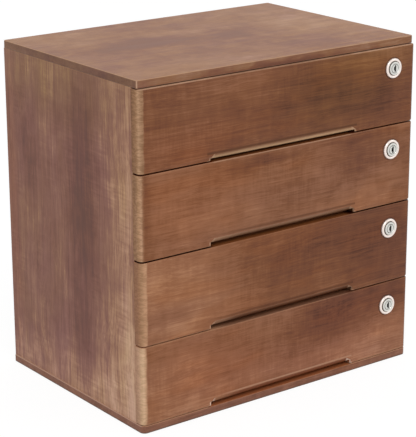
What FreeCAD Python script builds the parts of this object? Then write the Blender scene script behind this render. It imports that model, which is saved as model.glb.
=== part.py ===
import FreeCAD, Part
import math
import os

# Desktop cabinet with four lockable drawers for papers.
# Millimetres. X runs to the right, Y to the back and Z up.
# The origin is the middle of the base board's underside.

# Overall sizes
overall_width = 352.0
overall_height = 355.0
case_depth = 240.0
drawer_count = 4

# How far the drawer fronts and the base board stand out from the rest of the case
front_lead = 4.0
front_side_overhang = 1.0

# Boards
board_thickness = 8.0
side_thickness = 12.0
back_panel_thickness = 5.0
shelf_housing_depth = 4.0
back_rabbet_width = 6.0
board_corner_round = 2.0
board_edge_round = 0.8

# Drawer fronts
front_thickness = 12.0
front_corner_round = 6.0
front_edge_round = 1.2
front_gap = 1.2
front_end_gap = 0.5
front_seat_gap = 0.3

# Finger pull in the lower edge of each front
pull_half_width = 95.5
pull_end_slant = 7.5
pull_height = 8.0
pull_ceiling = 3.9
pull_bevel_depth = 1.8
pull_end_bevel = 0.6

# Drawer boxes
drawer_side_thickness = 6.0
drawer_headroom = 10.45
drawer_side_clearance = 1.0
drawer_run_clearance = 0.3
drawer_rear_clearance = 3.0
drawer_back_thickness = 6.0
drawer_back_inset = 3.0
drawer_back_housing = 2.5
drawer_side_tenon = 4.0
drawer_bottom_thickness = 4.0
drawer_bottom_raise = 8.0
drawer_bottom_groove = 3.0
drawer_top_edge_round = 1.5

# Cam lock: place, face ring and raised boss
lock_side_clearance = 1.2
lock_drop = 26.4
ring_radius = 10.6
ring_edge_height = 0.6
ring_crown_height = 2.1
ring_inner_height = 1.7
boss_land = 1.2
boss_height = 3.0
boss_edge_round = 0.5
boss_groove_width = 0.8
boss_groove_height = 0.5

# Cam lock: barrel and nut
barrel_radius = 7.0
barrel_tail = 1.5
barrel_flat_depth = 0.8
barrel_hole_clearance = 0.2
nut_wall = 1.5
nut_thickness = 3.5
nut_chamfer = 0.6
thread_clearance = 0.08

# Cam lock: turning plug
plug_head_radius = 4.85
plug_head_length = 2.4
plug_head_recess = 0.2
plug_shoulder = 0.65
plug_clearance = 0.05
plug_mouth_chamfer = 0.4
keyway_width = 2.0
keyway_tip_width = 1.1
keyway_rim = 0.6
keyway_end_wall = 1.8
keyway_jog = 0.6
keyway_ward_half = 1.9
drive_half = 2.9
drive_clearance = 0.08

# Cam lock: cam, its screw and the mortise it turns into
cam_thickness = 2.0
cam_hub_radius = 7.2
cam_tip_radius = 5.0
cam_bite = 4.0
cam_end_gap = 0.25
mortise_clearance = 1.2
cam_screw_head_radius = 4.2
cam_screw_head_height = 2.4
cam_screw_head_round = 0.9
cam_screw_radius = 1.9
cam_screw_length = 8.0
cam_screw_slot_width = 1.0
cam_screw_slot_depth = 1.0
screw_clearance = 0.05

# Dowels between the side panels and the top board
dowel_radius = 3.0
dowel_in_board = 5.0
dowel_in_side = 15.0
dowel_end_inset = 30.0
dowels_per_side = 3

# Screws up through the base board
base_screw_radius = 1.9
base_screw_length = 34.0
base_screw_head_radius = 3.9
base_screw_head_depth = 2.2
base_screw_sink = 0.4
base_screws_per_side = 3

# Screws through the back panel
back_screw_radius = 1.4
back_screw_length = 15.0
back_screw_head_radius = 2.9
back_screw_head_depth = 1.6
back_screw_end_inset = 22.0
back_screws_per_side = 4
shelf_screw_half_spacing = 70.0

# Nails through the drawer sides into the drawer back
nail_radius = 0.8
nail_length = 17.0
nail_head_radius = 1.5
nail_head_depth = 0.7
nail_edge_inset = 16.0

# One overrun serves every cut that has to pass a face
overrun = 2.0
tolerance = 0.001

# Places worked out from the sizes above
overall_depth = case_depth + front_lead
half_width = overall_width / 2
front_y = -overall_depth / 2
back_y = overall_depth / 2
top_front_y = front_y + front_lead
front_back_y = front_y + front_thickness
carcase_front_y = front_back_y + front_seat_gap
case_half = half_width - front_side_overhang
inner_half = case_half - side_thickness
back_panel_y = back_y - back_panel_thickness
top_underside = overall_height - board_thickness
board_pitch = (overall_height - board_thickness) / drawer_count

box_outer_half = inner_half - drawer_side_clearance
box_inner_half = box_outer_half - drawer_side_thickness
box_back_y = back_panel_y - drawer_rear_clearance
drawer_back_y = box_back_y - drawer_back_inset
drawer_back_front_y = drawer_back_y - drawer_back_thickness
side_front_y = front_back_y - drawer_side_tenon

drawer_side_height = board_pitch - board_thickness - drawer_run_clearance - drawer_headroom

plug_body_radius = plug_head_radius - plug_shoulder
boss_radius = plug_head_radius + plug_clearance + plug_mouth_chamfer + boss_land + boss_edge_round
ring_inner_radius = boss_radius + boss_groove_width
barrel_flat_half = barrel_radius - barrel_flat_depth
barrel_length = front_thickness + nut_thickness + barrel_tail
nut_half_width = barrel_radius + nut_wall
nut_corner_radius = nut_half_width / math.cos(math.pi / 6)
lock_x = box_inner_half - nut_corner_radius - lock_side_clearance
barrel_end_y = front_y + barrel_length
cam_y = barrel_end_y + cam_end_gap
cam_reach = lock_drop - board_thickness / 2 + cam_bite


def vector(x, y, z):
    return FreeCAD.Vector(x, y, z)


def box(x0, x1, y0, y1, z0, z1):
    return Part.makeBox(x1 - x0, y1 - y0, z1 - z0, vector(x0, y0, z0))


def rod(start, direction, radius, length):
    return Part.makeCylinder(radius, length, start, direction)


def upright_edges(shape, y):
    found = []
    for edge in shape.Edges:
        bounds = edge.BoundBox
        on_plane = abs(bounds.YMin - y) < tolerance and abs(bounds.YMax - y) < tolerance
        if on_plane and bounds.XLength < tolerance and bounds.ZLength > tolerance:
            found.append(edge)
    return found


def level_edges(shape, z):
    found = []
    for edge in shape.Edges:
        bounds = edge.BoundBox
        if abs(bounds.ZMin - z) < tolerance and abs(bounds.ZMax - z) < tolerance:
            found.append(edge)
    return found


def lathe_profile(points):
    # A closed section of straight lines, turned about the Y axis.
    wire = Part.makePolygon([vector(r, y, 0) for r, y in points] + [vector(points[0][0], points[0][1], 0)])
    return Part.Face(wire).revolve(vector(0, 0, 0), vector(0, 1, 0), 360)


def board_level(index):
    # Middle height of the horizontal boards, counted up from the base board.
    return board_thickness / 2 + index * board_pitch


def floor_index(number):
    # The board that drawer number runs on. Drawer 1 is the top one.
    return drawer_count - number


def floor_z(number):
    return board_level(floor_index(number)) + board_thickness / 2


def front_bottom_z(number):
    if number == drawer_count:
        return board_thickness + front_end_gap
    return board_level(floor_index(number)) + front_gap / 2


def front_top_z(number):
    if number == 1:
        return top_underside - front_end_gap
    return board_level(floor_index(number) + 1) - front_gap / 2


def box_bottom_z(number):
    return floor_z(number) + drawer_run_clearance


def lock_z(number):
    return board_level(floor_index(number) + 1) - lock_drop


def spread(first, last, count):
    return [first + (last - first) * step / (count - 1) for step in range(count)]


# Fasteners, each made once and used both as the piece and, a little larger, as its hole


def countersunk_screw(radius, length, head_radius, head_depth, gap):
    # Head at the origin, point along +Y.
    shank = radius + gap
    head = head_radius + gap
    points = [
        (0, 0),
        (head, 0),
        (shank, head_depth + gap),
        (shank, length - radius),
        (0, length + gap),
    ]
    return lathe_profile(points)


def turned_up(shape):
    # From the Y axis to the Z axis.
    shape.rotate(vector(0, 0, 0), vector(1, 0, 0), 90)
    return shape


def dowel_places():
    ys = spread(carcase_front_y + dowel_end_inset, back_panel_y - dowel_end_inset, dowels_per_side)
    return [(side * (case_half - side_thickness / 2), y) for side in (-1, 1) for y in ys]


def dowels(gap):
    pieces = []
    for x, y in dowel_places():
        start = vector(x, y, top_underside - dowel_in_side - gap)
        pieces.append(rod(start, vector(0, 0, 1), dowel_radius + gap, dowel_in_side + dowel_in_board + gap + gap))
    return pieces


def base_screws(gap):
    ys = spread(carcase_front_y + dowel_end_inset, back_panel_y - dowel_end_inset, base_screws_per_side)
    pieces = []
    for side in (-1, 1):
        for y in ys:
            screw = countersunk_screw(
                base_screw_radius, base_screw_length, base_screw_head_radius, base_screw_head_depth, gap
            )
            turned_up(screw)
            screw.translate(vector(side * (case_half - side_thickness / 2), y, base_screw_sink))
            pieces.append(screw)
    return pieces


def back_screw_places():
    edge_x = inner_half + back_rabbet_width / 2
    zs = spread(board_thickness + back_screw_end_inset, top_underside - back_screw_end_inset, back_screws_per_side)
    places = [(side * edge_x, z) for side in (-1, 1) for z in zs]
    for index in range(1, drawer_count):
        for side in (-1, 1):
            places.append((side * shelf_screw_half_spacing, board_level(index)))
    return places


def back_screws(gap):
    pieces = []
    for x, z in back_screw_places():
        screw = countersunk_screw(
            back_screw_radius, back_screw_length, back_screw_head_radius, back_screw_head_depth, gap
        )
        screw.rotate(vector(0, 0, 0), vector(0, 0, 1), 180)
        screw.translate(vector(x, back_y, z))
        pieces.append(screw)
    return pieces


def drawer_nails(number, gap):
    bottom = box_bottom_z(number) + drawer_bottom_raise + drawer_bottom_thickness
    top = box_bottom_z(number) + drawer_side_height
    y = drawer_back_y - drawer_back_thickness / 2
    pieces = []
    for side, turn in ((-1, -90), (1, 90)):
        for z in (bottom + nail_edge_inset, top - nail_edge_inset):
            nail = countersunk_screw(nail_radius, nail_length, nail_head_radius, nail_head_depth, gap)
            nail.rotate(vector(0, 0, 0), vector(0, 0, 1), turn)
            nail.translate(vector(side * box_outer_half, y, z))
            pieces.append(nail)
    return pieces


# The case


def cam_mortise(number):
    # Blind slot in the board above the drawer, wide enough for the cam's swing from the left.
    underside = board_level(floor_index(number) + 1) - board_thickness / 2
    rise = lock_drop - board_thickness / 2
    half_chord = math.sqrt(cam_reach * cam_reach - rise * rise)
    x0 = lock_x - half_chord - mortise_clearance
    x1 = lock_x + cam_tip_radius + mortise_clearance
    y0 = cam_y - mortise_clearance
    y1 = cam_y + cam_thickness + mortise_clearance
    return box(x0, x1, y0, y1, underside - overrun, underside + cam_bite + mortise_clearance)


def eased_board(x_half, y0, y1, z0, z1, front_round):
    board = box(-x_half, x_half, y0, y1, z0, z1)
    board = board.makeFillet(front_round, upright_edges(board, y0))
    board = board.makeFillet(board_corner_round, upright_edges(board, y1))
    rims = level_edges(board, z0) + level_edges(board, z1)
    return board.makeFillet(board_edge_round, rims)


def top_board():
    board = eased_board(case_half, top_front_y, back_y, top_underside, overall_height, board_corner_round)
    for hole in dowels(screw_clearance):
        board = board.cut(hole)
    return board.cut(cam_mortise(1))


def base_board():
    board = eased_board(half_width, front_y, back_y, 0, board_thickness, front_corner_round)
    for hole in base_screws(screw_clearance):
        board = board.cut(hole)
    for side in (-1, 1):
        for y in spread(carcase_front_y + dowel_end_inset, back_panel_y - dowel_end_inset, base_screws_per_side):
            start = vector(side * (case_half - side_thickness / 2), y, -overrun)
            board = board.cut(rod(start, vector(0, 0, 1), base_screw_head_radius, overrun + base_screw_sink))
    return board


def side_panel(side):
    outer = side * case_half
    inner = side * inner_half
    panel = box(min(outer, inner), max(outer, inner), carcase_front_y, back_y, board_thickness, top_underside)
    outer_back = [edge for edge in upright_edges(panel, back_y) if abs(edge.BoundBox.XMin - outer) < tolerance]
    panel = panel.makeFillet(board_edge_round, outer_back)
    housing_x = side * (inner_half + shelf_housing_depth)
    clear_x = side * (inner_half - overrun)
    for index in range(1, drawer_count):
        z0 = board_level(index) - board_thickness / 2
        z1 = board_level(index) + board_thickness / 2
        y0 = carcase_front_y - overrun
        housing = box(min(housing_x, clear_x), max(housing_x, clear_x), y0, back_panel_y, z0, z1)
        panel = panel.cut(housing)
    rabbet_x = side * (inner_half + back_rabbet_width)
    z0 = board_thickness - overrun
    z1 = top_underside + overrun
    rabbet = box(min(rabbet_x, clear_x), max(rabbet_x, clear_x), back_panel_y, back_y + overrun, z0, z1)
    panel = panel.cut(rabbet)
    for hole in dowels(screw_clearance) + base_screws(screw_clearance) + back_screws(screw_clearance):
        panel = panel.cut(hole)
    return panel


def back_panel():
    reach = inner_half + back_rabbet_width
    panel = box(-reach, reach, back_panel_y, back_y, board_thickness, top_underside)
    for hole in back_screws(screw_clearance):
        panel = panel.cut(hole)
    return panel


def shelf(index):
    reach = inner_half + shelf_housing_depth
    z0 = board_level(index) - board_thickness / 2
    z1 = board_level(index) + board_thickness / 2
    board = box(-reach, reach, carcase_front_y, back_panel_y, z0, z1)
    for hole in back_screws(screw_clearance):
        board = board.cut(hole)
    return board.cut(cam_mortise(drawer_count - index + 1))


# The drawers


def pull_outline(y, half_low, half_high, z0, height):
    slope = (half_low - half_high) / height
    z_low = z0 - overrun
    reach = half_low + slope * overrun
    points = [
        vector(-reach, y, z_low),
        vector(reach, y, z_low),
        vector(half_high, y, z0 + height),
        vector(-half_high, y, z0 + height),
    ]
    return Part.makePolygon(points + [points[0]])


def finger_pull(number):
    # A trapezoid cut through the lower edge, with a bevel round its front.
    z0 = front_bottom_z(number)
    high = pull_half_width - pull_end_slant
    narrow_low = pull_half_width - pull_end_bevel
    narrow_high = narrow_low - pull_end_slant * pull_ceiling / pull_height
    face = pull_outline(front_y, pull_half_width, high, z0, pull_height)
    throat = pull_outline(front_y + pull_bevel_depth, narrow_low, narrow_high, z0, pull_ceiling)
    mouth = Part.makeLoft([face, throat], True, True)
    through = Part.Face(throat).extrude(vector(0, front_thickness - pull_bevel_depth + overrun, 0))
    return [mouth, through]


def drawer_front(number):
    z0 = front_bottom_z(number)
    z1 = front_top_z(number)
    board = box(-half_width, half_width, front_y, front_back_y, z0, z1)
    board = board.makeFillet(front_corner_round, upright_edges(board, front_y))
    rims = [
        edge
        for edge in level_edges(board, z0) + level_edges(board, z1)
        if edge.BoundBox.YMin < front_back_y - tolerance
    ]
    board = board.makeFillet(front_edge_round, rims)
    for cutter in finger_pull(number):
        board = board.cut(cutter)
    low = box_bottom_z(number)
    for side in (-1, 1):
        x0 = min(side * box_outer_half, side * box_inner_half)
        x1 = max(side * box_outer_half, side * box_inner_half)
        board = board.cut(box(x0, x1, side_front_y, front_back_y + overrun, low, low + drawer_side_height))
    board = board.cut(bottom_groove(number, front_back_y + overrun))
    bore = rod(
        vector(lock_x, front_y - overrun, lock_z(number)),
        vector(0, 1, 0),
        barrel_radius + barrel_hole_clearance,
        front_thickness + overrun + overrun,
    )
    return board.cut(bore)


def bottom_groove(number, rear_y):
    reach = box_inner_half + drawer_bottom_groove
    z0 = box_bottom_z(number) + drawer_bottom_raise
    return box(-reach, reach, front_back_y - drawer_bottom_groove, rear_y, z0, z0 + drawer_bottom_thickness)


def drawer_side(number, side):
    z0 = box_bottom_z(number)
    z1 = z0 + drawer_side_height
    x0 = min(side * box_outer_half, side * box_inner_half)
    x1 = max(side * box_outer_half, side * box_inner_half)
    board = box(x0, x1, side_front_y, box_back_y, z0, z1)
    long_top = [edge for edge in level_edges(board, z1) if edge.BoundBox.YLength > drawer_side_thickness]
    inner_x = side * box_inner_half
    long_top = [edge for edge in long_top if abs(edge.BoundBox.XMin - inner_x) < tolerance]
    board = board.makeFillet(drawer_top_edge_round, long_top)
    board = board.cut(bottom_groove(number, box_back_y + overrun))
    housing_x = side * (box_inner_half + drawer_back_housing)
    clear_x = side * (box_inner_half - overrun)
    low = z0 + drawer_bottom_raise + drawer_bottom_thickness
    housing = box(
        min(housing_x, clear_x), max(housing_x, clear_x), drawer_back_front_y, drawer_back_y, low, z1 + overrun
    )
    board = board.cut(housing)
    for hole in drawer_nails(number, screw_clearance):
        board = board.cut(hole)
    return board


def drawer_back(number):
    reach = box_inner_half + drawer_back_housing
    z0 = box_bottom_z(number) + drawer_bottom_raise + drawer_bottom_thickness
    z1 = box_bottom_z(number) + drawer_side_height
    board = box(-reach, reach, drawer_back_front_y, drawer_back_y, z0, z1)
    for hole in drawer_nails(number, screw_clearance):
        board = board.cut(hole)
    return board


def drawer_bottom(number):
    return bottom_groove(number, drawer_back_y)


# The locks, modelled on the Y axis with the drawer front's face at y = 0


def lock_barrel():
    # Domed face ring, raised boss and plain barrel in one turned section.
    head_bore = plug_head_radius + plug_clearance
    body_bore = plug_body_radius + plug_clearance
    shoulder = plug_head_length - boss_height + plug_head_recess + plug_clearance
    corner = boss_edge_round * (1 - math.sqrt(0.5))
    crown_radius = (ring_inner_radius + ring_radius) / 2

    def point(r, y):
        return vector(r, y, 0)

    def line(a, b):
        return Part.LineSegment(a, b).toShape()

    mouth = point(head_bore + plug_mouth_chamfer, -boss_height)
    boss_flat = point(boss_radius - boss_edge_round, -boss_height)
    boss_mid = point(boss_radius - corner, -boss_height + corner)
    boss_side = point(boss_radius, -boss_height + boss_edge_round)
    groove_in = point(boss_radius, -boss_groove_height)
    groove_out = point(ring_inner_radius, -boss_groove_height)
    ring_in = point(ring_inner_radius, -ring_inner_height)
    ring_crown = point(crown_radius, -ring_crown_height)
    ring_out = point(ring_radius, -ring_edge_height)
    ring_seat = point(ring_radius, 0)
    thread_top = point(barrel_radius, 0)
    thread_end = point(barrel_radius, barrel_length)
    bore_end = point(body_bore, barrel_length)
    bore_top = point(body_bore, shoulder)
    head_low = point(head_bore, shoulder)
    head_high = point(head_bore, -boss_height + plug_mouth_chamfer)
    edges = [
        line(mouth, boss_flat),
        Part.Arc(boss_flat, boss_mid, boss_side).toShape(),
        line(boss_side, groove_in),
        line(groove_in, groove_out),
        line(groove_out, ring_in),
        Part.Arc(ring_in, ring_crown, ring_out).toShape(),
        line(ring_out, ring_seat),
        line(ring_seat, thread_top),
        line(thread_top, thread_end),
        line(thread_end, bore_end),
        line(bore_end, bore_top),
        line(bore_top, head_low),
        line(head_low, head_high),
        line(head_high, mouth),
    ]
    section = Part.Face(Part.Wire(edges))
    barrel = section.revolve(vector(0, 0, 0), vector(0, 1, 0), 360)
    reach = barrel_radius + overrun
    for side in (-1, 1):
        z0 = min(side * barrel_flat_half, side * reach)
        z1 = max(side * barrel_flat_half, side * reach)
        barrel = barrel.cut(box(-reach, reach, front_thickness / 2, barrel_length + overrun, z0, z1))
    return barrel


def lock_nut():
    points = []
    for step in range(6):
        angle = math.pi / 6 + step * math.pi / 3
        points.append(vector(nut_corner_radius * math.cos(angle), 0, nut_corner_radius * math.sin(angle)))
    prism = Part.Face(Part.makePolygon(points + [points[0]])).extrude(vector(0, nut_thickness, 0))
    turned = lathe_profile(
        [
            (0, 0),
            (nut_corner_radius, 0),
            (nut_corner_radius, nut_thickness - nut_chamfer),
            (nut_corner_radius - nut_chamfer - nut_chamfer, nut_thickness),
            (0, nut_thickness),
        ]
    )
    bore = rod(vector(0, -overrun, 0), vector(0, 1, 0), barrel_radius + thread_clearance, nut_thickness + 2 * overrun)
    nut = prism.common(turned).cut(bore)
    nut.translate(vector(0, front_thickness, 0))
    return nut


def lock_plug():
    face = -boss_height + plug_head_recess
    head = rod(vector(0, face, 0), vector(0, 1, 0), plug_head_radius, plug_head_length)
    tail_start = face + plug_head_length
    tail_end = barrel_length + cam_end_gap
    plug = head.fuse(rod(vector(0, tail_start, 0), vector(0, 1, 0), plug_body_radius, tail_end - tail_start))
    drive_end = tail_end + cam_thickness - cam_end_gap
    screw_end = drive_end - cam_screw_length
    plug = plug.fuse(box(-drive_half, drive_half, tail_end, drive_end, -drive_half, drive_half))
    # The middle of the keyway is set to the left, so that only a key with the matching groove goes in.
    mouth_y = face - overrun
    back = screw_end - keyway_end_wall
    half = keyway_width / 2
    tip = keyway_tip_width / 2
    reach = plug_body_radius - keyway_rim
    upper = box(-tip, tip, mouth_y, back, keyway_ward_half, reach)
    middle = box(-half - keyway_jog, half - keyway_jog, mouth_y, back, -keyway_ward_half, keyway_ward_half)
    lower = box(-tip, tip, mouth_y, back, -reach, -keyway_ward_half)
    plug = plug.cut(upper.fuse([middle, lower]))
    screw_hole = rod(
        vector(0, screw_end, 0),
        vector(0, 1, 0),
        cam_screw_radius + screw_clearance,
        cam_screw_length + overrun,
    )
    return plug.cut(screw_hole).removeSplitter()


def lock_cam():
    # Hub and tip circles joined by their outer tangents; the arm lies to the left.
    centres = cam_reach - cam_tip_radius
    cosine = (cam_hub_radius - cam_tip_radius) / centres
    sine = math.sqrt(1 - cosine * cosine)
    y = barrel_length + cam_end_gap

    def on_circle(centre_x, radius, side):
        return vector(centre_x - radius * cosine, y, side * radius * sine)

    hub_up = on_circle(0, cam_hub_radius, 1)
    hub_down = on_circle(0, cam_hub_radius, -1)
    tip_up = on_circle(-centres, cam_tip_radius, 1)
    tip_down = on_circle(-centres, cam_tip_radius, -1)
    edges = [
        Part.LineSegment(hub_up, tip_up).toShape(),
        Part.Arc(tip_up, vector(-cam_reach, y, 0), tip_down).toShape(),
        Part.LineSegment(tip_down, hub_down).toShape(),
        Part.Arc(hub_down, vector(cam_hub_radius, y, 0), hub_up).toShape(),
    ]
    cam = Part.Face(Part.Wire(edges)).extrude(vector(0, cam_thickness, 0))
    hole = drive_half + drive_clearance
    return cam.cut(box(-hole, hole, y - overrun, y + cam_thickness + overrun, -hole, hole))


def cam_screw():
    seat = barrel_length + cam_end_gap + cam_thickness
    head = rod(vector(0, seat, 0), vector(0, 1, 0), cam_screw_head_radius, cam_screw_head_height)
    rim = [edge for edge in head.Edges if edge.BoundBox.YMin > seat + tolerance and edge.Closed]
    head = head.makeFillet(cam_screw_head_round, rim)
    shank_start = seat - cam_end_gap - cam_screw_length + screw_clearance
    shank = rod(vector(0, shank_start, 0), vector(0, 1, 0), cam_screw_radius, seat - shank_start)
    screw = head.fuse(shank)
    top = seat + cam_screw_head_height
    half = cam_screw_slot_width / 2
    reach = cam_screw_head_radius + overrun
    slot = box(-reach, reach, top - cam_screw_slot_depth, top + overrun, -half, half)
    return screw.cut(slot).removeSplitter()


def placed_lock(shape, number):
    shape.translate(vector(lock_x, front_y, lock_z(number)))
    return shape


def save(name, shape):
    if shape.isNull() or not shape.isValid():
        raise ValueError("bad solid: " + name)
    shape.exportStep("parts/" + name + ".step")
    print(name, len(shape.Solids), round(shape.Volume, 1))


def save_case():
    save("top_board", top_board())
    save("base_board", base_board())
    save("left_side_panel", side_panel(-1))
    save("right_side_panel", side_panel(1))
    save("back_panel", back_panel())
    for index in range(1, drawer_count):
        save("shelf_" + str(drawer_count - index), shelf(index))
    save("top_dowels", Part.makeCompound(dowels(0)))
    save("base_screws", Part.makeCompound(base_screws(0)))
    save("back_screws", Part.makeCompound(back_screws(0)))


def save_drawer(number):
    name = "drawer_" + str(number) + "_"
    save(name + "front", drawer_front(number))
    save(name + "left_side", drawer_side(number, -1))
    save(name + "right_side", drawer_side(number, 1))
    save(name + "back", drawer_back(number))
    save(name + "bottom", drawer_bottom(number))
    save(name + "nails", Part.makeCompound(drawer_nails(number, 0)))


def save_lock(number):
    name = "lock_" + str(number) + "_"
    save(name + "barrel", placed_lock(lock_barrel(), number))
    save(name + "nut", placed_lock(lock_nut(), number))
    save(name + "plug", placed_lock(lock_plug(), number))
    save(name + "cam", placed_lock(lock_cam(), number))
    save(name + "cam_screw", placed_lock(cam_screw(), number))


os.makedirs("parts", exist_ok=True)
save_case()
for drawer in range(1, drawer_count + 1):
    save_drawer(drawer)
    save_lock(drawer)
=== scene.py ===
import bpy
import bmesh
import math
from mathutils import Matrix, Vector


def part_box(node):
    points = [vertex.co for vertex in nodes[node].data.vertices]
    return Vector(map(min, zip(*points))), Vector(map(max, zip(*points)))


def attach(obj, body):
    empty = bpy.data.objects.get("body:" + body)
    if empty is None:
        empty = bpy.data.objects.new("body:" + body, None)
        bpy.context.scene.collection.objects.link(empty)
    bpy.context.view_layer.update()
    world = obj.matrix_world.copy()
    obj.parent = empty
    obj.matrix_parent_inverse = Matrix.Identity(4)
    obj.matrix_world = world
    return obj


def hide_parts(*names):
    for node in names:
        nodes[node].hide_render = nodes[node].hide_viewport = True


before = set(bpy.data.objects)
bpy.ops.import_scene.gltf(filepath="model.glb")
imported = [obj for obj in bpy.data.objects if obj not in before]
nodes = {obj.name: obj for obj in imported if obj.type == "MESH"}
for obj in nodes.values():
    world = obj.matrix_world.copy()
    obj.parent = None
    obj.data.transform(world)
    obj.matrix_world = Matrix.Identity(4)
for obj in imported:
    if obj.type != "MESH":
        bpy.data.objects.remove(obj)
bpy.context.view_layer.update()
mm = 0.001

# the photograph's viewing angle, angles in radians and lengths in metres
viewPoint = {
    "azimuth": -0.645683,
    "elevation": 0.303299,
    "roll": -0.003147,
    "distance": 1.828142,
    "slideRight": -0.002886,
    "slideUp": -0.017552,
    "aimHeight": 0.1775,
    "lens": 141.40,  # lens and sensor in mm
    "sensor": 36,
    "clipEnd": 20,
}


def placeCamera(view):
    az, el, roll = view["azimuth"], view["elevation"], view["roll"]
    back = Vector((math.sin(az) * math.cos(el), -math.cos(az) * math.cos(el), math.sin(el)))
    right = Vector((math.cos(az), math.sin(az), 0))
    up = back.cross(right)
    place = Vector((0, 0, view["aimHeight"]))
    for way, key in ((back, "distance"), (right, "slideRight"), (up, "slideUp")):
        place = place + way * view[key]
    turnedRight = right * math.cos(roll) + up * math.sin(roll)
    turnedUp = up * math.cos(roll) - right * math.sin(roll)
    camera = bpy.data.objects.new("camera", bpy.data.cameras.new("camera"))
    camera.matrix_world = Matrix.Translation(place) @ Matrix((turnedRight, turnedUp, back)).transposed().to_4x4()
    camera.data.lens = view["lens"]
    camera.data.sensor_width = view["sensor"]
    camera.data.clip_end = view["clipEnd"]
    bpy.context.scene.collection.objects.link(camera)
    bpy.context.scene.camera = camera


placeCamera(viewPoint)
bpy.context.scene.view_settings.view_transform = "Standard"
print("camera placed")


# node helpers: a value is either a number, a tuple or another node's socket
def addNode(tree, kind, inputs=(), **settings):
    node = tree.nodes.new(kind)
    for name, value in settings.items():
        setattr(node, name, value)
    for key, value in dict(inputs).items():
        if isinstance(value, bpy.types.NodeSocket):
            tree.links.new(value, node.inputs[key])
        else:
            node.inputs[key].default_value = value
    return node


def maths(tree, operation, *values, clamp=False):
    return addNode(tree, "ShaderNodeMath", enumerate(values), operation=operation, use_clamp=clamp).outputs[0]


def vectorMaths(tree, operation, *values):
    node = addNode(tree, "ShaderNodeVectorMath", enumerate(values), operation=operation)
    return node.outputs["Value" if operation in ("LENGTH", "DOT_PRODUCT") else "Vector"]


def blend(tree, factor, first, second, kind="MIX"):
    node = addNode(tree, "ShaderNodeMix", {0: factor, 6: first, 7: second}, data_type="RGBA", blend_type=kind)
    return node.outputs[2]


def step(tree, value, low, high, toLow=0.0, toHigh=1.0):
    inputs = {0: value, 1: low, 2: high, 3: toLow, 4: toHigh}
    return addNode(tree, "ShaderNodeMapRange", inputs, interpolation_type="SMOOTHSTEP").outputs[0]


def noise(tree, vector, detail=2.0, roughness=0.5, distortion=0.0):
    inputs = {"Vector": vector, "Scale": 1.0, "Detail": detail, "Roughness": roughness, "Distortion": distortion}
    return addNode(tree, "ShaderNodeTexNoise", inputs).outputs[0]


def around(tree, value, strength):  # noise of 0 to 1 made a swing of that strength about zero
    return maths(tree, "MULTIPLY", maths(tree, "SUBTRACT", value, 0.5), strength)


def total(tree, values):
    result = values[0]
    for value in values[1:]:
        result = maths(tree, "ADD", result, value)
    return result


def toLinear(rgb):
    return tuple((c / 255 / 12.92 if c <= 10 else ((c / 255 + 0.055) / 1.055) ** 2.4) for c in rgb) + (1.0,)


def rampOf(tree, value, stops, low=0.0, high=1.0):
    scaled = addNode(tree, "ShaderNodeMapRange", {0: value, 1: low, 2: high}).outputs[0]
    ramp = addNode(tree, "ShaderNodeValToRGB", {0: scaled})
    while len(ramp.color_ramp.elements) < len(stops):
        ramp.color_ramp.elements.new(0.5)
    for element, (position, rgb) in zip(ramp.color_ramp.elements, stops):
        element.position = (position - low) / (high - low)
        element.color = toLinear(rgb)
    return ramp.outputs[0]


def newMaterial(name):
    material = bpy.data.materials.new(name)
    material.use_nodes = True
    material.node_tree.nodes.clear()
    return material, material.node_tree


def finishMaterial(tree, shader):
    addNode(tree, "ShaderNodeOutputMaterial", {"Surface": shader.outputs[0]})


# studio
studio = {
    "ambient": 0.62,  # what the white room gives, where 1 would show each colour as written
    "floorSize": 8.0,
    "floorHeight": -0.0002,  # just under the object, so that its underside stays whole
    "floorShow": 0.8,  # how much of the floor the camera sees as plain white, the rest being lit and shadowed
    "floorGlow": 1.115,
    "lampAim": (0, 0, 0.17),
    "lamps": [
        # name, place, size, power
        ("keyLamp", (-0.9, -2.0, 1.9), 1.4, 14.0),
        ("fillLamp", (1.6, -1.6, 1.2), 1.2, 3.5),
    ],
}


def seenDirectly(tree):
    path = addNode(tree, "ShaderNodeLightPath")
    direct = maths(tree, "MAXIMUM", path.outputs["Is Camera Ray"], path.outputs["Is Glossy Ray"])
    return maths(tree, "MAXIMUM", direct, path.outputs["Is Transmission Ray"])


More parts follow.
